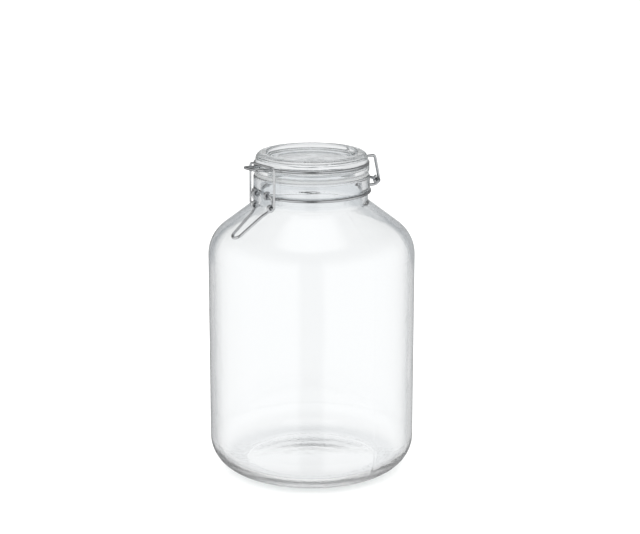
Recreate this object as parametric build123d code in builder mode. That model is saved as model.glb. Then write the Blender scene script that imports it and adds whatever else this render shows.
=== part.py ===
"""Clip-top glass canister: a five-litre jar with a glass lid and a wire toggle clamp.

Millimetres. The origin is the centre of the foot, +Z is up, the clamp is on the -Y side and the
hinge on the +Y side. The jar and the lid are turned profiles. The four wires are round stock bent
along straight runs and arcs, each one made as its +X half and mirrored.
"""

import os
from math import acos, asin, atan2, cos, degrees, hypot, pi, radians, sin, sqrt, tan

from build123d import *

os.makedirs("parts", exist_ok=True)

# %% Jar
BODY_RADIUS = 90.0
WALL = 4.0
FLOOR = 8.0
PUNT_RISE = 3.5  # the underside is hollowed by this much
HEEL_RADIUS = 28.5
HEEL_LEVEL = 5.0  # flat ring that the jar stands on, inside its heel
INNER_HEEL_RADIUS = 20.5
STRAIGHT_TOP = 193.2  # height where the straight wall turns into the shoulder
SHOULDER_RADIUS = 31.3
SHOULDER_TURN = 52.65  # degrees from upright to the slope of the shoulder
NECK_RADIUS = 48.9
NECK_FILLET = 4.0
NECK_HEIGHT = 10.2  # from the foot of the neck up to the bead
BEAD_OVERHANG = 1.5
BEAD_HEIGHT = 13.3
LIP_WALL = 5.1  # from the neck's outside in to the mouth

# %% Lid
SEAL_THICKNESS = 3.0
SEAL_OVERHANG = 0.6  # the seal stops this far inside the flange
SEAL_SLACK = 0.6  # between the seal and the plug
PLUG_PLAY = 0.9  # between the plug and the mouth
PLUG_DEPTH = 4.5  # from the flange down, through the seal and into the mouth
PLUG_WALL = 6.4  # the plug is hollow inside this
PLUG_HOLLOW_DEPTH = 8.5
FLANGE_OVERHANG = 1.1  # past the neck
FLANGE_THICKNESS = 6.0
CROWN_INSET = 1.3  # from the flange's edge in to the crown
CROWN_DRAFT = 0.8  # the crown is this much narrower at its top
CROWN_HEIGHT = 10.4  # from the flange to the top of the rim
RIM_WIDTH = 9.6
RIM_ROUND = 5.6  # outer edge of the rim; its inner edges are rounded half as much
DISH_DEPTH = 4.6  # the middle of the lid lies this far below the rim
DISH_DOME = 1.0

# %% Wires
RING_WIRE = 2.6  # lid wire and neck wire
LEVER_WIRE = 2.4
LINK_WIRE = 2.0
RING_BEND = 3.0  # inside a ring's wire, where it turns outwards
WIRE_SEAT = 0.1  # between a wire and the glass that it grips
PIN_PLAY = 0.08  # radial, between a wire and the eye round it

TONGUE_HALF_WIDTH = 9.0
TONGUE_REACH = 15.4  # past the lid's flange
TONGUE_RISE = 5.5  # degrees
TONGUE_CORNER = 4.0

HINGE_REACH = 14.4  # from the bead to the hinge bar's centre
HINGE_RISE = 3.2  # hinge bar above the neck wire
HINGE_HALF_WIDTH = 14.5
HINGE_LEG_X = 9.0  # lid wire's two rear legs
HINGE_SHOULDER = 13.8  # how far past the lid ring those legs run level

EYELET_X = 8.0  # neck wire's two front eyelets
EYELET_REACH = 2.9  # from the neck wire's ring to the lever's pivot
LEVER_X = 13.0  # lever wire where its coil starts
LEVER_LENGTH = 33.0  # from the coils to where the hairpin's end starts to round
GRIP_NECK = 9.0  # the two wires draw together over this much of it
GRIP_NECK_X = 7.4
GRIP_TIP_X = 5.0
GRIP_BEND = 12.0
LEVER_LIFT = 2.5  # degrees by which the lever leaves the slope of the shoulder
CRANK_DROP = 10.5  # from the lever's pivot down to the link's
CRANK_INSET = 0.7  # and inwards, which puts the closed clamp past dead centre
COIL_GAP = 0.1  # between one turn of the coil and the next
LINK_HALF_WIDTH = 17.4
LINK_CORNER = 3.0
LINK_HOOK = 2.0
LINK_SEAT = 0.9  # link's bar past the bend of the tongue's legs
LINK_GAP = 0.36  # link's bar above the tongue
PIN_STICKOUT = 0.8  # wire ends past the eye that they run in

# %% Heights and radii that follow
turn = radians(SHOULDER_TURN)
slope = 1 / tan(turn)
shoulder_corner_z = STRAIGHT_TOP + SHOULDER_RADIUS * tan(turn / 2)
neck_z = shoulder_corner_z + (BODY_RADIUS - NECK_RADIUS) * slope
foot_radius = BODY_RADIUS - HEEL_RADIUS - HEEL_LEVEL
mouth_radius = NECK_RADIUS - LIP_WALL
bead_radius = NECK_RADIUS + BEAD_OVERHANG
bead_z = neck_z + NECK_HEIGHT
mouth_z = bead_z + BEAD_HEIGHT
flange_z = mouth_z + SEAL_THICKNESS
groove_z = flange_z + FLANGE_THICKNESS + RING_WIRE / 2 + WIRE_SEAT
rim_z = flange_z + FLANGE_THICKNESS + CROWN_HEIGHT
plug_radius = mouth_radius - PLUG_PLAY
plug_hollow = plug_radius - PLUG_WALL
flange_radius = NECK_RADIUS + FLANGE_OVERHANG
crown_radius = flange_radius - CROWN_INSET
wire_r = RING_WIRE / 2
neck_ring = NECK_RADIUS + WIRE_SEAT + wire_r
neck_ring_z = bead_z - wire_r + 0.4
lid_ring = crown_radius
groove_radius = wire_r + WIRE_SEAT


def bend_y(ring, x, bend):
    """Height along Y of the centre of a bend that joins a ring to a straight run at this x."""
    return sqrt((ring + bend) ** 2 - (x + bend) ** 2)


def bend_join(ring, x, bend):
    """Where that bend meets the ring, as x and y on the rear side."""
    share = ring / (ring + bend)
    return (x + bend) * share, bend_y(ring, x, bend) * share


# %% Jar body: one turned solid, its inside following the outside at the wall's thickness
inner_shoulder = SHOULDER_RADIUS - WALL
inner_corner_z = STRAIGHT_TOP + inner_shoulder * tan(turn / 2)
inner_neck_z = inner_corner_z + (BODY_RADIUS - WALL - mouth_radius) * slope
with BuildPart() as jar_body:
    with BuildSketch(Plane.XZ):
        with BuildLine():
            punt = ThreePointArc(
                (0, PUNT_RISE), (foot_radius / 2, PUNT_RISE * 0.72), (foot_radius, 0)
            )
            outside = FilletPolyline(
                punt @ 1,
                (BODY_RADIUS, 0),
                (BODY_RADIUS, shoulder_corner_z),
                (NECK_RADIUS, neck_z),
                (NECK_RADIUS, bead_z),
                (bead_radius, bead_z + BEAD_OVERHANG),
                (bead_radius, mouth_z),
                (mouth_radius, mouth_z),
                (mouth_radius, inner_neck_z),
                (BODY_RADIUS - WALL, inner_corner_z),
                (BODY_RADIUS - WALL, FLOOR),
                (0, FLOOR),
                radius=[
                    HEEL_RADIUS,
                    SHOULDER_RADIUS,
                    NECK_FILLET,
                    0.6,
                    1.0,
                    1.8,
                    1.4,
                    NECK_FILLET + WALL,
                    inner_shoulder,
                    INNER_HEEL_RADIUS,
                ],
            )
            Line(outside @ 1, punt @ 0)
        make_face()
    revolve(axis=Axis.Z)
jar_body.part.label = "jar_body"

# %% Lid: a turned glass disc with a plug below, a groove for its wire and a dished top
hollow_z = flange_z - PLUG_DEPTH + PLUG_HOLLOW_DEPTH
dish_radius = crown_radius - RIM_WIDTH
crown_foot_z = groove_z + groove_radius
with BuildPart() as lid:
    with BuildSketch(Plane.XZ):
        with BuildLine():
            under = FilletPolyline(
                (0, hollow_z),
                (plug_hollow, hollow_z),
                (plug_hollow + 1.5, flange_z - PLUG_DEPTH),
                (plug_radius - 0.6, flange_z - PLUG_DEPTH),
                (plug_radius, flange_z),
                (flange_radius, flange_z),
                (flange_radius, flange_z + FLANGE_THICKNESS),
                (lid_ring, flange_z + FLANGE_THICKNESS),
                radius=[3.0, 1.2, 1.2, 0.5, 1.6, 0.6],
            )
            groove = ThreePointArc(
                under @ 1, (lid_ring - groove_radius, groove_z), (lid_ring, crown_foot_z)
            )
            crown = FilletPolyline(
                groove @ 1,
                (crown_radius - CROWN_DRAFT, rim_z),
                (dish_radius, rim_z),
                (dish_radius - 1.2, rim_z - DISH_DEPTH),
                (dish_radius - 6.0, rim_z - DISH_DEPTH),
                radius=[RIM_ROUND, RIM_ROUND / 2, RIM_ROUND / 2],
            )
            dome_height = rim_z - DISH_DEPTH + DISH_DOME
            dome_run = dish_radius - 6.0
            dome_ball = (dome_run**2 + DISH_DOME**2) / (2 * DISH_DOME)
            half_run = dome_run / 2
            dome = ThreePointArc(
                crown @ 1,
                (half_run, dome_height - dome_ball + sqrt(dome_ball**2 - half_run**2)),
                (0, dome_height),
            )
            Line(dome @ 1, under @ 0)
        make_face()
    revolve(axis=Axis.Z)
lid.part.label = "lid"

# %% Sealing ring: flat rubber between the mouth and the flange, round the plug
with BuildPart() as sealing_ring:
    with BuildSketch(Plane.XY.offset(mouth_z)):
        Circle(flange_radius - SEAL_OVERHANG)
        Circle(plug_radius + SEAL_SLACK, mode=Mode.SUBTRACT)
    extrude(amount=SEAL_THICKNESS)
    fillet(sealing_ring.edges().filter_by(GeomType.CIRCLE).group_by(SortBy.RADIUS)[-1], 0.8)
sealing_ring.part.label = "sealing_ring"

# %% Hinge: the neck wire's rear bar, with the lid wire's eyes round it
hinge_y = bead_radius + HINGE_REACH
hinge_z = neck_ring_z + HINGE_RISE
hinge_eye = RING_WIRE + PIN_PLAY

# %% Pivots of the clamp
pivot_eye = (LEVER_WIRE + RING_WIRE) / 2 + PIN_PLAY
pivot_y = -(neck_ring + EYELET_REACH)
pivot_z = neck_ring_z + pivot_eye
crank_y = pivot_y + CRANK_INSET
crank_z = pivot_z - CRANK_DROP

# %% Lid wire: tongue in front, ring in the lid's groove, two legs behind that end in eyes
tongue_y = -(flange_radius + TONGUE_REACH)
tongue_root_y = -bend_y(lid_ring, TONGUE_HALF_WIDTH, RING_BEND)
tongue_bend_y = tongue_root_y - 1.0
tongue_z = groove_z + (tongue_bend_y - tongue_y) * tan(radians(TONGUE_RISE))
front_x, front_y = bend_join(lid_ring, TONGUE_HALF_WIDTH, RING_BEND)
rear_x, rear_y = bend_join(lid_ring, HINGE_LEG_X, RING_BEND)
leg_y = lid_ring + HINGE_SHOULDER
leg_root_y = bend_y(lid_ring, HINGE_LEG_X, RING_BEND)
# the leg comes down on the far side of the bar: its last run is the tangent from the bend to the eye
leg_run = hypot(hinge_y - leg_y, hinge_z - groove_z)
eye_start = atan2(groove_z - hinge_z, leg_y - hinge_y) - acos(hinge_eye / leg_run)
EYE_WRAP = 268.0
eye_end = eye_start - radians(EYE_WRAP)
with BuildPart() as lid_wire:
    with BuildLine() as lid_wire_path:
        tongue = FilletPolyline(
            (0, tongue_y, tongue_z),
            (TONGUE_HALF_WIDTH, tongue_y, tongue_z),
            (TONGUE_HALF_WIDTH, tongue_bend_y, groove_z),
            (TONGUE_HALF_WIDTH, tongue_root_y, groove_z),
            radius=[TONGUE_CORNER, 8.0],
        )
        into_ring = TangentArc(tongue @ 1, (front_x, -front_y, groove_z), tangent=tongue % 1)
        ring = TangentArc(into_ring @ 1, (rear_x, rear_y, groove_z), tangent=into_ring % 1)
        out_of_ring = TangentArc(ring @ 1, (HINGE_LEG_X, leg_root_y, groove_z), tangent=ring % 1)
        leg = FilletPolyline(
            out_of_ring @ 1,
            (HINGE_LEG_X, leg_y, groove_z),
            (
                HINGE_LEG_X,
                hinge_y + hinge_eye * cos(eye_start),
                hinge_z + hinge_eye * sin(eye_start),
            ),
            radius=[3.2],
        )
        TangentArc(
            leg @ 1,
            (
                HINGE_LEG_X,
                hinge_y + hinge_eye * cos(eye_end),
                hinge_z + hinge_eye * sin(eye_end),
            ),
            tangent=leg % 1,
        )
    with BuildSketch(Plane(origin=lid_wire_path.line @ 0, z_dir=(1, 0, 0))):
        Circle(wire_r)
    sweep()
    mirror(about=Plane.YZ)
lid_wire.part.label = "lid_wire"

# %% Neck wire: hinge bar behind, ring under the bead, two eyelets in front
hump_x, hump_y = bend_join(neck_ring, HINGE_HALF_WIDTH, RING_BEND)
hump_root_y = bend_y(neck_ring, HINGE_HALF_WIDTH, RING_BEND)
hump_bend_y = hinge_y - 6.0
ear_x, ear_y = bend_join(neck_ring, EYELET_X, RING_BEND)
ear_root_y = -bend_y(neck_ring, EYELET_X, RING_BEND)
EYELET_WRAP = 225.0
eyelet_end = radians(-90.0 - EYELET_WRAP)
with BuildPart() as neck_wire:
    with BuildLine() as neck_wire_path:
        bar = FilletPolyline(
            (0, hinge_y, hinge_z),
            (HINGE_HALF_WIDTH, hinge_y, hinge_z),
            (HINGE_HALF_WIDTH, hump_bend_y, neck_ring_z),
            (HINGE_HALF_WIDTH, hump_root_y, neck_ring_z),
            radius=[RING_BEND, RING_BEND],
        )
        from_bar = TangentArc(bar @ 1, (hump_x, hump_y, neck_ring_z), tangent=bar % 1)
        band = TangentArc(from_bar @ 1, (ear_x, -ear_y, neck_ring_z), tangent=from_bar % 1)
        to_ear = TangentArc(band @ 1, (EYELET_X, ear_root_y, neck_ring_z), tangent=band % 1)
        ear = Line(to_ear @ 1, (EYELET_X, pivot_y, neck_ring_z))
        TangentArc(
            ear @ 1,
            (
                EYELET_X,
                pivot_y + pivot_eye * cos(eyelet_end),
                pivot_z + pivot_eye * sin(eyelet_end),
            ),
            tangent=ear % 1,
        )
    with BuildSketch(Plane(origin=neck_wire_path.line @ 0, z_dir=(1, 0, 0))):
        Circle(wire_r)
    sweep()
    mirror(about=Plane.YZ)
neck_wire.part.label = "neck_wire"

# %% Lever: ends in the eyelets, a coil each side for the link, and a hairpin down the shoulder
coil_radius = (LEVER_WIRE + LINK_WIRE) / 2 + PIN_PLAY
coil_pitch = LEVER_WIRE + COIL_GAP
crank = hypot(CRANK_INSET, CRANK_DROP)
coil_start = atan2(CRANK_INSET, CRANK_DROP) + asin(coil_radius / crank)
coil_wrap = coil_start + turn + radians(LEVER_LIFT) + 2 * pi
coil_run = coil_pitch * coil_wrap / (2 * pi)
coil_lean = coil_pitch / (2 * pi * coil_radius)
arm = sqrt(crank**2 - coil_radius**2)
lever_shoulder_x = LEVER_X + arm * coil_lean
with BuildPart() as lever:
    with BuildLine() as lever_path:
        arm_run = FilletPolyline(
            (EYELET_X - wire_r - PIN_STICKOUT, pivot_y, pivot_z),
            (lever_shoulder_x, pivot_y, pivot_z),
            (
                LEVER_X,
                crank_y + coil_radius * cos(coil_start),
                crank_z + coil_radius * sin(coil_start),
            ),
            radius=[LEVER_WIRE],
        )
        coil = Helix(
            coil_pitch,
            coil_run,
            coil_radius,
            center=(LEVER_X, crank_y, crank_z),
            direction=(-1, 0, 0),
            mode=Mode.PRIVATE,
        )
        coil = coil.rotate(Axis((0, crank_y, crank_z), (1, 0, 0)), 90 + degrees(coil_start))
        add(coil)
        out = coil @ 1
        reach = Vector(0, (coil % 1).Y, (coil % 1).Z).normalized()
        side = Vector(1, 0, 0)
        grip = FilletPolyline(
            out,
            out + (coil % 1) * 2.6,
            out + reach * GRIP_NECK + side * (GRIP_NECK_X - out.X),
            out + reach * LEVER_LENGTH + side * (GRIP_TIP_X - out.X),
            radius=[GRIP_BEND / 2, GRIP_BEND],
        )
        tip_radius = GRIP_TIP_X / sqrt(1 - (grip % 1).X ** 2)
        tip = (grip @ 1) + reach * tip_radius * (1 + (grip % 1).X)
        TangentArc(grip @ 1, (0, tip.Y, tip.Z), tangent=grip % 1)
    with BuildSketch(Plane(origin=lever_path.line @ 0, z_dir=(1, 0, 0))):
        Circle(LEVER_WIRE / 2)
    sweep()
    mirror(about=Plane.YZ)
lever.part.label = "lever"

# %% Link: a square loop whose bar lies on the tongue and whose ends hook into the lever's coils
link_y = tongue_bend_y - LINK_SEAT
link_z = (
    groove_z
    + (tongue_bend_y - link_y) * tan(radians(TONGUE_RISE))
    + wire_r
    + LINK_WIRE / 2
    + LINK_GAP
)
hook_x = LEVER_X - coil_run - LEVER_WIRE / 2 - PIN_STICKOUT
with BuildPart() as link:
    with BuildLine() as link_path:
        FilletPolyline(
            (0, link_y, link_z),
            (LINK_HALF_WIDTH, link_y, link_z),
            (LINK_HALF_WIDTH, crank_y, crank_z),
            (hook_x, crank_y, crank_z),
            radius=[LINK_CORNER, LINK_HOOK],
        )
    with BuildSketch(Plane(origin=link_path.line @ 0, z_dir=(1, 0, 0))):
        Circle(LINK_WIRE / 2)
    sweep()
    mirror(about=Plane.YZ)
link.part.label = "link"

# %% One file for each piece
for piece in (jar_body, neck_wire, lid, lid_wire, sealing_ring, lever, link):
    export_step(piece.part, f"parts/{piece.part.label}.step")

print("hinge", round(hinge_y, 3), round(hinge_z, 3))
print("pivot", round(pivot_y, 3), round(pivot_z, 3), "crank", round(crank_y, 3), round(crank_z, 3))
print("mouth", round(mouth_z, 3), "rim", round(rim_z, 3), "neck", round(neck_z, 3))
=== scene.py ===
# %% [markdown]
# # A clip-top glass canister
#
# The real object is a five-litre storage jar: a blown glass body, a pressed glass lid, a clear rubber
# seal between them, and four bent wires that hinge the lid and clamp it shut. Its shapes are already
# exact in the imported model, so this lesson leaves them where they are and is about what they are
# made of. Glass has no colour of its own: it shows the room behind it, bent, and the room in front
# of it, mirrored. So the work is in three places: the room, the glass, and the metal.

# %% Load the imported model
import math

import bmesh
import bpy
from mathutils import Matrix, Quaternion, Vector

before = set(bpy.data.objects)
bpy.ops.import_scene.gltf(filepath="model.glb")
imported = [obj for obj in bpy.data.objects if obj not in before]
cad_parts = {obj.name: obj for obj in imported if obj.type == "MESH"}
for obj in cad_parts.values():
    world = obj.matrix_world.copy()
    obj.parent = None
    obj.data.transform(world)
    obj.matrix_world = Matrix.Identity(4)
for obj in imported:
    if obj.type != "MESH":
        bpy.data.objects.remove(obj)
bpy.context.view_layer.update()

print("pieces", sorted(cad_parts))

# %% [markdown]
# ## Camera
#
# A jar is best seen from a little above its shoulder, through a long lens, so that its walls stay
# nearly upright and its mouth shows as a flat ellipse. The camera could be pointed with a Track To
# constraint, but two angles and a distance say the same thing and are easy to read back. It looks
# a touch above and to the right of the jar's middle, which sets the jar low and left in the frame.

# %% Place the camera
AZIMUTH, ELEVATION = math.radians(53.0), math.radians(15.65)
LOOK_UP, LOOK_RIGHT = math.radians(1.352), math.radians(0.2615)
CAMERA_DISTANCE = 1.6193
CAMERA_CENTRE = Vector((0, 0, 0.1408))  # point on the jar's axis that the distance is taken from
LENS_MM = 103.54
towards_camera = Vector((
    math.sin(AZIMUTH) * math.cos(ELEVATION),
    -math.cos(AZIMUTH) * math.cos(ELEVATION),
    math.sin(ELEVATION),
))
lens = bpy.data.cameras.new("long_lens")
lens.sensor_width, lens.lens = 36.0, LENS_MM
lens.clip_start, lens.clip_end = 0.05, 60.0
camera = bpy.data.objects.new("studio_camera", lens)
camera.location = CAMERA_CENTRE + CAMERA_DISTANCE * towards_camera
camera.rotation_mode = "QUATERNION"
level = (-towards_camera).to_track_quat("-Z", "Y")
camera.rotation_quaternion = (
    level @ Quaternion((1, 0, 0), LOOK_UP) @ Quaternion((0, 1, 0), -LOOK_RIGHT)
)
bpy.context.scene.collection.objects.link(camera)
bpy.context.scene.camera = camera
print("camera stands at", [round(v, 3) for v in camera.location])

# %% [markdown]
# ## Helpers for node trees
#
# Every finish below is a small graph of nodes. Writing each node out takes four lines, and most of
# them are the same, so four helpers do it. One adds a node and sets its fields and sockets, one
# makes an empty group whose inputs and outputs have names, and two do sums and mix colours. A group
# is the right place for an effect that several finishes share, because its knobs are in one place.

# %% Helpers for node trees
def add_node(tree, kind, inputs=None, **fields):
    """A new node: fields are its own settings, inputs its sockets, each a value or a socket to link."""
    node = tree.nodes.new(kind)
    for name, value in fields.items():
        setattr(node, name, value)
    for name, value in (inputs or {}).items():
        if isinstance(value, bpy.types.NodeSocket):
            tree.links.new(value, node.inputs[name])
        else:
            node.inputs[name].default_value = value
    return node


def new_group(name, takes, gives):
    """An empty shader node group: takes and gives are {socket name: (kind, default)}."""
    group = bpy.data.node_groups.new(name, "ShaderNodeTree")
    for direction, sockets in (("INPUT", takes), ("OUTPUT", gives)):
        for label, (kind, default) in sockets.items():
            socket_type = "NodeSocket" + kind
            socket = group.interface.new_socket(label, in_out=direction, socket_type=socket_type)
            if direction == "INPUT" and default is not None:
                socket.default_value = default
    entry, leave = group.nodes.new("NodeGroupInput"), group.nodes.new("NodeGroupOutput")
    return group, entry.outputs, leave.inputs


def math_node(tree, operation, a, b=0.0, c=0.0):
    """The result of one sum, as a socket."""
    return add_node(tree, "ShaderNodeMath", {0: a, 1: b, 2: c}, operation=operation).outputs[0]


def mix_colour(tree, share, first, second):
    """Two colours mixed by a share, as a socket."""
    colours = {0: share}
    for socket, colour in ((6, first), (7, second)):
        colours[socket] = colour if isinstance(colour, bpy.types.NodeSocket) else (*colour, 1)
    return add_node(tree, "ShaderNodeMix", colours, data_type="RGBA").outputs[2]


# %% [markdown]
# ## The room
#
# Clear glass in an evenly white room is invisible. Studios set it in front of one bright sheet, with
# darker walls beside, above and below it: straight through the jar one sees the sheet, while its
# edges and its heel bend the view round to the dark, which draws them. That room could be built from
# panels, but panels would stand in the way of every other camera. Here it is a world whose
# brightness depends only on the direction and on the kind of ray. Two pairs of ramps give it, each
# with one ramp round the compass and one up and down. The seen pair is nearly even, so the jar looks
# clear from every side. The mirrored pair has a dark gap and dark walls, which draw grey outlines
# and the soft upright band. Rays that come straight from the camera, and light for dull surfaces,
# get plain white. Near straight up and down the compass fades out, or it would show as a wedge.

# %% World: brightness round the compass and by height
def ramp(tree, position, stops, name):
    """A colour ramp through (position, grey) stops, as a socket."""
    node = add_node(tree, "ShaderNodeValToRGB", {"Fac": position}, label=name)
    elements = node.color_ramp.elements
    for place, (where, grey) in enumerate(stops):
        element = elements[place] if place < 2 else elements.new(where)
        element.position, element.color = where, (grey, grey, grey, 1)
    return node.outputs["Color"]


SEEN_COMPASS = [  # degrees to the right of straight ahead, brightness seen through the glass
    (-180, 1.0), (-90, 1.0), (-58, 0.95), (-38, 0.86), (-24, 0.84), (-17, 0.995), (6, 1.0),
    (13, 0.97), (25, 0.87), (36, 0.86), (58, 0.93), (90, 1.0), (180, 1.0),
]
SEEN_HEIGHTS = [  # degrees above the horizon
    (-90, 0.97), (-60, 0.95), (-51, 0.88), (-40, 0.84), (-30, 0.98), (12, 1.0), (24, 0.8),
    (36, 0.45), (50, 0.3), (64, 0.3), (74, 1.0), (90, 1.1),
]
MIRRORED_COMPASS = [  # the same two, as the glass and the wires mirror them
    (-180, 0.1), (-170, 0.15), (-163, 1.35), (-110, 1.3), (-75, 0.9), (-56, 0.22), (-13, 0.18),
    (-6, 0.8), (0, 0.9), (6, 0.8), (13, 0.3), (56, 0.35), (75, 0.9), (110, 1.3), (163, 1.35),
    (170, 0.15), (180, 0.1),
]
MIRRORED_HEIGHTS = [
    (-90, 0.4), (-60, 0.5), (-45, 0.6), (-35, 0.85), (-25, 1.0), (12, 1.0), (24, 0.8), (36, 0.4),
    (50, 0.2), (64, 0.25), (74, 1.2), (90, 1.3),
]
FADE_FROM, FADE_TO = math.radians(35), math.radians(60)  # heights between which the compass fades
PLAIN_WHITE = 1.45
world = bpy.data.worlds.new("soft_studio")
bpy.context.scene.world = world
world.use_nodes = True
room = world.node_tree
room.nodes.clear()
direction = add_node(room, "ShaderNodeTexCoord").outputs["Generated"]
ahead = (-math.sin(AZIMUTH), math.cos(AZIMUTH), 0)
aside = (math.cos(AZIMUTH), math.sin(AZIMUTH), 0)
ahead_part, aside_part = (
    add_node(room, "ShaderNodeVectorMath", {0: direction, 1: axis}, operation="DOT_PRODUCT")
    .outputs["Value"]
    for axis in (ahead, aside)
)
upward = add_node(room, "ShaderNodeSeparateXYZ", {0: direction}).outputs["Z"]
bearing = math_node(room, "ARCTAN2", aside_part, ahead_part)
height = math_node(room, "ARCSINE", upward)
bearing_share = math_node(room, "MULTIPLY_ADD", bearing, 0.5 / math.pi, 0.5)
height_share = math_node(room, "MULTIPLY_ADD", height, 1 / math.pi, 0.5)

# near straight up and straight down the bearings crowd together, so the compass fades out there
steep = add_node(
    room, "ShaderNodeMapRange",
    {"Value": math_node(room, "ABSOLUTE", height), "From Min": FADE_FROM, "From Max": FADE_TO},
    interpolation_type="SMOOTHSTEP",
).outputs["Result"]


def studio(compass, heights, name):
    """Brightness of the room in every direction: one ramp round the compass times one by height."""
    compass_stops = [((d + 180) / 360, v) for d, v in compass]
    height_stops = [((d + 90) / 180, v) for d, v in heights]
    round_it = ramp(room, bearing_share, compass_stops, name + " compass")
    up_it = ramp(room, height_share, height_stops, name + " heights")
    faded = add_node(room, "ShaderNodeMix", {0: steep, 2: round_it, 3: 1.0}, data_type="FLOAT")
    return math_node(room, "MULTIPLY", faded.outputs[0], up_it)


seen = studio(SEEN_COMPASS, SEEN_HEIGHTS, "seen")
mirrored = studio(MIRRORED_COMPASS, MIRRORED_HEIGHTS, "mirrored")
print("stops round the compass", len(SEEN_COMPASS), len(MIRRORED_COMPASS))

# %% World: which brightness a ray gets
path = add_node(room, "ShaderNodeLightPath").outputs
through, shiny = path["Is Transmission Ray"], path["Is Glossy Ray"]
brightness = add_node(
    room, "ShaderNodeMix", {0: through, 2: mirrored, 3: seen}, data_type="FLOAT"
).outputs[0]
in_glass = add_node(room, "ShaderNodeBackground", {"Color": (1, 1, 1, 1), "Strength": brightness})
plain = add_node(room, "ShaderNodeBackground", {"Color": (1, 1, 1, 1), "Strength": PLAIN_WHITE})
bent = math_node(room, "MAXIMUM", shiny, through)
sky = add_node(room, "ShaderNodeMixShader", {0: bent, 1: plain.outputs[0], 2: in_glass.outputs[0]})
add_node(room, "ShaderNodeOutputWorld", {"Surface": sky.outputs[0]})
print("world nodes", len(room.nodes))

# %% [markdown]
# ## Floor and lamps
#
# The jar stands on plain white board. The board is wide enough that its far edge is never in view,
# and it is hidden from bent and mirrored rays, so that the glass shows the room and not the board.
# One large lamp high on the left and a weaker one on the right light the board and the seal, and
# give a soft shadow where the jar meets the board. They too are hidden from bent and mirrored rays,
# so the bright lines on the wires and the glass come from the room alone.

# %% White board under the jar
BOARD_RADIUS = 14.0
board_mesh = bpy.data.meshes.new("white_board")
board_shape = bmesh.new()
bmesh.ops.create_circle(board_shape, cap_ends=True, radius=BOARD_RADIUS, segments=96)
board_shape.to_mesh(board_mesh)
board_shape.free()
board = bpy.data.objects.new("white_board", board_mesh)
board.visible_transmission = board.visible_glossy = False
bpy.context.scene.collection.objects.link(board)

board_finish = bpy.data.materials.new("matt_white_board")
board_finish.use_nodes = True
tree = board_finish.node_tree
paint = tree.nodes["Principled BSDF"]
board_place = add_node(tree, "ShaderNodeTexCoord").outputs["Object"]
mottle = add_node(tree, "ShaderNodeTexNoise", {"Vector": board_place, "Scale": 3.0, "Detail": 3.0})
white = mix_colour(tree, mottle.outputs["Fac"], (0.925, 0.925, 0.925), (0.94, 0.94, 0.94))
tree.links.new(white, paint.inputs["Base Color"])
paint.inputs["Roughness"].default_value = 0.8
board_mesh.materials.append(board_finish)
print("board radius in m", BOARD_RADIUS)

# %% Two soft lamps
LAMP_AIM = Vector((0, 0, 0.15))


def soft_lamp(name, bearing_degrees, height_degrees, distance, width, watts):
    """An area lamp that faces the jar from this bearing (as the camera's azimuth) and height."""
    data = bpy.data.lights.new(name, "AREA")
    data.shape, data.size, data.energy = "SQUARE", width, watts
    lamp = bpy.data.objects.new(name, data)
    b, h = math.radians(bearing_degrees), math.radians(height_degrees)
    out = Vector((math.sin(b) * math.cos(h), -math.cos(b) * math.cos(h), math.sin(h)))
    lamp.location = LAMP_AIM + distance * out
    lamp.rotation_mode = "QUATERNION"
    lamp.rotation_quaternion = (-out).to_track_quat("-Z", "Y")
    lamp.visible_glossy = lamp.visible_transmission = False
    bpy.context.scene.collection.objects.link(lamp)
    return lamp


key = soft_lamp(
    "key_lamp", bearing_degrees=-15, height_degrees=48, distance=2.2, width=1.2, watts=14.0
)
fill = soft_lamp(
    "fill_lamp", bearing_degrees=120, height_degrees=40, distance=2.4, width=1.0, watts=7.0
)
print("lamps", key.name, fill.name)

# %% [markdown]
# ## Effects that the finishes share
#
# Glass from a mould is never quite flat: the outside took the mould's skin, the inside was blown
# free, so both roll gently over a few centimetres. Two vertical lines show where the mould's halves
# met. The mouth was tooled while hot, which leaves fine level ridges in thicker glass, and the foot
# has a thick heel with a fine stipple; at both the colour is a greyer painted shade. The shoulder is
# thicker too, and there the painted grey outline shade starts sooner. Handling leaves faint cloudy
# patches. Each of these is a group, so that the jar, which is blown, and the lid, which is pressed,
# can have the same effects at different strengths.

# %% Group: the roll of moulded glass
roll, roll_in, roll_out = new_group(
    "glass_roll",
    {"Wave Scale": ("Float", 30.0), "Wave": ("Float", 1.0),
     "Skin Scale": ("Float", 220.0), "Skin": ("Float", 0.1)},
    {"Height": ("Float", None)},
)
place = add_node(roll, "ShaderNodeTexCoord").outputs["Object"]
wave = add_node(roll, "ShaderNodeTexNoise", {"Vector": place, "Scale": roll_in["Wave Scale"], "Detail": 1.5})
skin = add_node(roll, "ShaderNodeTexNoise", {"Vector": place, "Scale": roll_in["Skin Scale"], "Detail": 2.0})
rolled = math_node(roll, "MULTIPLY", wave.outputs["Fac"], roll_in["Wave"])
rolled = math_node(roll, "MULTIPLY_ADD", skin.outputs["Fac"], roll_in["Skin"], rolled)
roll.links.new(rolled, roll_out["Height"])
print("group", roll.name)

# %% Group: the two seams of the mould
seam, seam_in, seam_out = new_group(
    "mould_seam", {"Half Width": ("Float", 0.0006)}, {"Mask": ("Float", None)}
)
# the two halves met in the plane through the axis that holds neither the clamp nor the hinge
place = add_node(seam, "ShaderNodeTexCoord").outputs["Object"]
from_plane = math_node(seam, "ABSOLUTE", add_node(seam, "ShaderNodeSeparateXYZ", {0: place}).outputs["Y"])
line = add_node(
    seam, "ShaderNodeMapRange",
    {"Value": from_plane, "From Min": 0.0, "From Max": seam_in["Half Width"], "To Min": 1.0, "To Max": 0.0},
    interpolation_type="SMOOTHSTEP",
)
seam.links.new(line.outputs["Result"], seam_out["Mask"])
print("group", seam.name)

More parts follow.
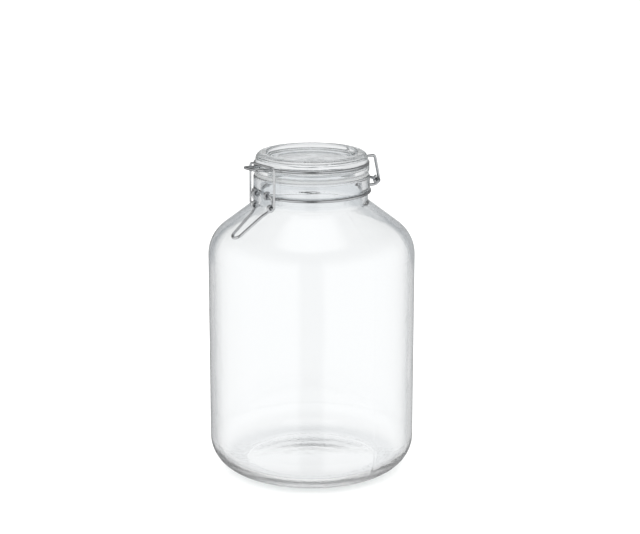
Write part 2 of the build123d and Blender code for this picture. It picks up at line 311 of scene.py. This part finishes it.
# %% Group: the thicker, tooled ring of glass round the mouth
tooled, tooled_in, tooled_out = new_group(
    "tooled_neck",
    {"Foot": ("Float", 0.2385), "Top": ("Float", 0.2425), "Ridges": ("Float", 110.0)},
    {"Mask": ("Float", None), "Height": ("Float", None)},
)
place = add_node(tooled, "ShaderNodeTexCoord").outputs["Object"]
above = add_node(
    tooled, "ShaderNodeMapRange",
    {"Value": add_node(tooled, "ShaderNodeSeparateXYZ", {0: place}).outputs["Z"],
     "From Min": tooled_in["Foot"], "From Max": tooled_in["Top"]},
    interpolation_type="SMOOTHSTEP",
).outputs["Result"]
tooled.links.new(above, tooled_out["Mask"])
flattened = add_node(tooled, "ShaderNodeVectorMath", {0: place, 1: (0.07, 0.07, 1.0)}, operation="MULTIPLY")
ridges = add_node(
    tooled, "ShaderNodeTexNoise",
    {"Vector": flattened.outputs["Vector"], "Scale": tooled_in["Ridges"], "Detail": 1.0},
)
even_ridges = math_node(tooled, "SUBTRACT", ridges.outputs["Fac"], 0.5)
tooled.links.new(math_node(tooled, "MULTIPLY", even_ridges, above), tooled_out["Height"])
print("group", tooled.name)

# %% Group: the thick heel and its stippled foot
heel, heel_in, heel_out = new_group(
    "stippled_heel",
    {"Top": ("Float", 0.011), "Radius": ("Float", 0.0555), "Stipple": ("Float", 480.0)},
    {"Mask": ("Float", None), "Height": ("Float", None)},
)
place = add_node(heel, "ShaderNodeTexCoord").outputs["Object"]
low = add_node(
    heel, "ShaderNodeMapRange",
    {"Value": add_node(heel, "ShaderNodeSeparateXYZ", {0: place}).outputs["Z"],
     "From Min": 0.001, "From Max": heel_in["Top"], "To Min": 1.0, "To Max": 0.0},
    interpolation_type="SMOOTHSTEP",
).outputs["Result"]
flat_place = add_node(heel, "ShaderNodeVectorMath", {0: place, 1: (1.0, 1.0, 0.0)}, operation="MULTIPLY")
from_axis = add_node(heel, "ShaderNodeVectorMath", {0: flat_place.outputs["Vector"]}, operation="LENGTH")
outer = add_node(
    heel, "ShaderNodeMapRange",
    {"Value": from_axis.outputs["Value"], "From Min": heel_in["Radius"],
     "From Max": math_node(heel, "ADD", heel_in["Radius"], 0.004)},
    interpolation_type="SMOOTHSTEP",
).outputs["Result"]
at_heel = math_node(heel, "MULTIPLY", low, outer)
heel.links.new(at_heel, heel_out["Mask"])
stipple = add_node(heel, "ShaderNodeTexNoise", {"Vector": place, "Scale": heel_in["Stipple"], "Detail": 1.0})
even_stipple = math_node(heel, "SUBTRACT", stipple.outputs["Fac"], 0.5)
heel.links.new(math_node(heel, "MULTIPLY", even_stipple, at_heel), heel_out["Height"])
print("group", heel.name)

# %% Group: the shoulder, where the glass is thicker and the painted outline shade starts sooner
shoulder, shoulder_in, shoulder_out = new_group(
    "shoulder_outline_shade", {"Foot": ("Float", 0.178), "Top": ("Float", 0.2)}, {"Mask": ("Float", None)}
)
place = add_node(shoulder, "ShaderNodeTexCoord").outputs["Object"]
upper = add_node(
    shoulder, "ShaderNodeMapRange",
    {"Value": add_node(shoulder, "ShaderNodeSeparateXYZ", {0: place}).outputs["Z"],
     "From Min": shoulder_in["Foot"], "From Max": shoulder_in["Top"]},
    interpolation_type="SMOOTHSTEP",
).outputs["Result"]
shoulder.links.new(upper, shoulder_out["Mask"])
print("group", shoulder.name)

# %% Group: faint cloudy patches from handling
cloud, cloud_in, cloud_out = new_group(
    "handling_marks",
    {"Scale": ("Float", 14.0), "Clean": ("Float", 0.0), "Marked": ("Float", 0.05)},
    {"Roughness": ("Float", None), "Mask": ("Float", None)},
)
place = add_node(cloud, "ShaderNodeTexCoord").outputs["Object"]
patches = add_node(
    cloud, "ShaderNodeTexNoise",
    {"Vector": place, "Scale": cloud_in["Scale"], "Detail": 5.0, "Roughness": 0.65},
)
mask = add_node(
    cloud, "ShaderNodeMapRange",
    {"Value": patches.outputs["Fac"], "From Min": 0.5, "From Max": 0.72, "To Min": 0.0, "To Max": 1.0},
    interpolation_type="SMOOTHSTEP",
).outputs["Result"]
rough = add_node(
    cloud, "ShaderNodeMapRange",
    {"Value": mask, "To Min": cloud_in["Clean"], "To Max": cloud_in["Marked"]},
)
cloud.links.new(rough.outputs["Result"], cloud_out["Roughness"])
cloud.links.new(mask, cloud_out["Mask"])
print("group", cloud.name)

# %% [markdown]
# ## Glass
#
# Soda glass bends light by 1.5 and is very nearly white, with a little green that only shows where
# one looks along it. One shader with full transmission does the bending and the mirroring. Towards
# the outlines the colour is a painted shade: by Layer Weight, where the surface turns away from the
# eye, it falls towards a cool grey, standing in for the dark room that the edges bend into view. A
# lamp's light would stop at bending glass, so for shadow rays alone the glass is swapped for a clear,
# faintly tinted pane.

# %% A maker of glass finishes
def use_group(tree, group, values):
    """A group placed in a material, with its own values."""
    node = tree.nodes.new("ShaderNodeGroup")
    node.node_tree = group
    for name, value in values.items():
        node.inputs[name].default_value = value
    return node.outputs


def moulded_glass(name, clear, edge_shade, thick_glass_shade, turn, roll_values, marks, seam_lift, neck_lift, foot_lift):
    """Clear moulded glass.

    clear is its colour face on, edge a painted grey shade towards its outlines, and thick a greyer
    painted shade at the tooled mouth and the heel. turn is where the outline shade starts and is
    full, as shares of the turn away from the eye, and how much the second changes on the shoulder.
    roll_values and marks are the values of those two groups. The lifts are strengths of the seams,
    the ridges at the mouth and the stipple at the foot in the bump.
    """
    finish = bpy.data.materials.new(name)
    finish.use_nodes = True
    tree = finish.node_tree
    glass, end = tree.nodes["Principled BSDF"], tree.nodes["Material Output"]
    glass.inputs["Transmission Weight"].default_value = 1.0
    glass.inputs["IOR"].default_value = 1.5
    # painted shade: by Layer Weight the colour turns to a cool grey towards the outlines, sooner on the
    # shoulder
    facing = add_node(tree, "ShaderNodeLayerWeight", {"Blend": 0.5}).outputs["Facing"]
    full_turn = math_node(tree, "MULTIPLY_ADD", use_group(tree, shoulder, {})["Mask"], turn[2], turn[1])
    turned = add_node(
        tree, "ShaderNodeMapRange", {"Value": facing, "From Min": turn[0], "From Max": full_turn},
        interpolation_type="SMOOTHSTEP",
    ).outputs["Result"]
    worked = use_group(tree, tooled, {})
    footed = use_group(tree, heel, {})
    # at the tooled mouth and the heel the colour is a greyer painted shade
    body = mix_colour(tree, math_node(tree, "MAXIMUM", worked["Mask"], footed["Mask"]), clear, thick_glass_shade)
    tree.links.new(mix_colour(tree, turned, body, edge_shade), glass.inputs["Base Color"])
    marked = use_group(tree, cloud, marks)
    tree.links.new(marked["Roughness"], glass.inputs["Roughness"])
    rolled = use_group(tree, roll, roll_values)["Height"]
    seamed = use_group(tree, seam, {})["Mask"]
    lift = math_node(tree, "MULTIPLY_ADD", seamed, seam_lift, rolled)
    lift = math_node(tree, "MULTIPLY_ADD", worked["Height"], neck_lift, lift)
    lift = math_node(tree, "MULTIPLY_ADD", footed["Height"], foot_lift, lift)
    bump = add_node(tree, "ShaderNodeBump", {"Height": lift, "Strength": 1.0, "Distance": 0.001})
    tree.links.new(bump.outputs[0], glass.inputs["Normal"])
    pane = add_node(tree, "ShaderNodeBsdfTransparent", {"Color": (0.97, 0.98, 0.975, 1)})
    shadow = add_node(tree, "ShaderNodeLightPath").outputs["Is Shadow Ray"]
    either = add_node(tree, "ShaderNodeMixShader", {0: shadow, 1: glass.outputs[0], 2: pane.outputs[0]})
    tree.links.new(either.outputs[0], end.inputs["Surface"])
    return finish


# %% Jar and lid in their glass
jar_glass = moulded_glass(
    "blown_jar_glass",
    clear=(0.985, 0.993, 0.997),
    # painted grey shade towards the outlines
    edge_shade=(0.38, 0.41, 0.435),
    # greyer painted shade at the tooled mouth and the heel
    thick_glass_shade=(0.82, 0.84, 0.855),
    turn=(0.6, 1.0, -0.27),
    roll_values={"Wave Scale": 26.0, "Wave": 0.5, "Skin Scale": 160.0, "Skin": 0.02},
    marks={"Scale": 11.0, "Clean": 0.0, "Marked": 0.02},
    seam_lift=0.02,
    neck_lift=1.2,
    foot_lift=0.45,
)
# the lid has no tooled mouth and no heel, so the colour of their painted shade is the lid's clear one, and
# their lifts are 0
lid_glass = moulded_glass(
    "pressed_lid_glass",
    clear=(0.9, 0.915, 0.925),
    # painted grey shade towards the outlines
    edge_shade=(0.60, 0.635, 0.655),
    thick_glass_shade=(0.9, 0.915, 0.925),
    turn=(0.5, 1.0, 0.0),
    roll_values={"Wave Scale": 34.0, "Wave": 0.45, "Skin Scale": 240.0, "Skin": 0.0},
    marks={"Scale": 24.0, "Clean": 0.0, "Marked": 0.03},
    seam_lift=0.02,
    neck_lift=0.0,
    foot_lift=0.0,
)
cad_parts["jar_body"].material_slots[0].material = jar_glass
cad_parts["lid"].material_slots[0].material = lid_glass
print("glass finishes", jar_glass.name, lid_glass.name)

# %% [markdown]
# ## Wire
#
# The wires are drawn stainless steel. Drawing leaves hair-fine marks and a satin shine, and bending
# the wire over a former dulls it in places. The marks are too fine to model, so a fine noise gives
# a bump, and a coarser one changes the colour and the roughness from place to place.

# %% Group: drawn steel
drawn, drawn_in, drawn_out = new_group(
    "drawn_steel",
    {"Bright": ("Color", (0.7, 0.71, 0.72, 1)), "Stained": ("Color", (0.5, 0.51, 0.52, 1)),
     "Polished": ("Float", 0.16), "Dull": ("Float", 0.34), "Scratch": ("Float", 1.0)},
    {"Color": ("Color", None), "Roughness": ("Float", None), "Height": ("Float", None)},
)
place = add_node(drawn, "ShaderNodeTexCoord").outputs["Object"]
hairs = add_node(drawn, "ShaderNodeTexNoise", {"Vector": place, "Scale": 1500.0, "Detail": 3.0})
stains = add_node(drawn, "ShaderNodeTexNoise", {"Vector": place, "Scale": 70.0, "Detail": 4.0})
tone = mix_colour(drawn, stains.outputs["Fac"], drawn_in["Stained"], drawn_in["Bright"])
drawn.links.new(tone, drawn_out["Color"])
shine = add_node(
    drawn, "ShaderNodeMapRange",
    {"Value": stains.outputs["Fac"], "From Min": 0.3, "From Max": 0.7,
     "To Min": drawn_in["Polished"], "To Max": drawn_in["Dull"]},
)
drawn.links.new(shine.outputs["Result"], drawn_out["Roughness"])
scratched = math_node(drawn, "MULTIPLY", hairs.outputs["Fac"], drawn_in["Scratch"])
drawn.links.new(scratched, drawn_out["Height"])
print("group", drawn.name)


# %% Wires in their steel
def drawn_wire(name, bright, stained, polished, dull, scratch):
    """Drawn steel between two colours and two roughnesses, with a bump of fine marks."""
    finish = bpy.data.materials.new(name)
    finish.use_nodes = True
    tree = finish.node_tree
    steel = tree.nodes["Principled BSDF"]
    steel.inputs["Metallic"].default_value = 1.0
    surface = use_group(tree, drawn, {
        "Bright": (*bright, 1), "Stained": (*stained, 1),
        "Polished": polished, "Dull": dull, "Scratch": scratch,
    })
    tree.links.new(surface["Color"], steel.inputs["Base Color"])
    tree.links.new(surface["Roughness"], steel.inputs["Roughness"])
    marks = {"Height": surface["Height"], "Strength": 0.4, "Distance": 0.0001}
    bump = add_node(tree, "ShaderNodeBump", marks)
    tree.links.new(bump.outputs[0], steel.inputs["Normal"])
    return finish


# the ring wires get a darker copy of the clamp's steel: painted shade for the dark lines they show
shaded_ring_steel = drawn_wire(
    "drawn_ring_wire_shaded",
    bright=(0.56, 0.57, 0.58), stained=(0.34, 0.35, 0.36), polished=0.16, dull=0.30, scratch=0.8,
)
clamp_steel = drawn_wire(
    "drawn_clamp_wire",
    bright=(0.68, 0.69, 0.70), stained=(0.46, 0.47, 0.48), polished=0.14, dull=0.26, scratch=1.0,
)
for node in ("lid_wire", "neck_wire"):
    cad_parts[node].material_slots[0].material = shaded_ring_steel
for node in ("lever", "link"):
    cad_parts[node].material_slots[0].material = clamp_steel
print("wire finishes", shaded_ring_steel.name, clamp_steel.name)

# %% [markdown]
# ## Seal
#
# The seal is a flat ring of clear rubber, milky rather than glassy, with a satin skin. Part of the
# light goes through it and is scattered on the way, which a rough, half transmitting surface shows.

# %% Seal in its rubber
rubber = bpy.data.materials.new("clear_seal_rubber")
rubber.use_nodes = True
tree = rubber.node_tree
soft = tree.nodes["Principled BSDF"]
soft.inputs["Transmission Weight"].default_value = 0.5
soft.inputs["IOR"].default_value = 1.43
worn = use_group(tree, cloud, {"Scale": 60.0, "Clean": 0.38, "Marked": 0.55})
milk = mix_colour(tree, worn["Mask"], (0.70, 0.715, 0.72), (0.62, 0.635, 0.64))
tree.links.new(milk, soft.inputs["Base Color"])
tree.links.new(worn["Roughness"], soft.inputs["Roughness"])
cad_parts["sealing_ring"].material_slots[0].material = rubber
print("seal finish", rubber.name)

# %% [markdown]
# ## Last settings
#
# The view transform is set to Standard, because the filmic one greys a white room. Light that is
# caught in the heel or the lid is mirrored many times before it gets out, and a path that is cut
# short shows as a black patch, so paths may be longer than usual.

# %% View transform and path lengths
bpy.context.scene.view_settings.view_transform = "Standard"
MOST_BOUNCES = 64
paths = bpy.context.scene.cycles
paths.max_bounces = paths.transmission_bounces = paths.glossy_bounces = MOST_BOUNCES
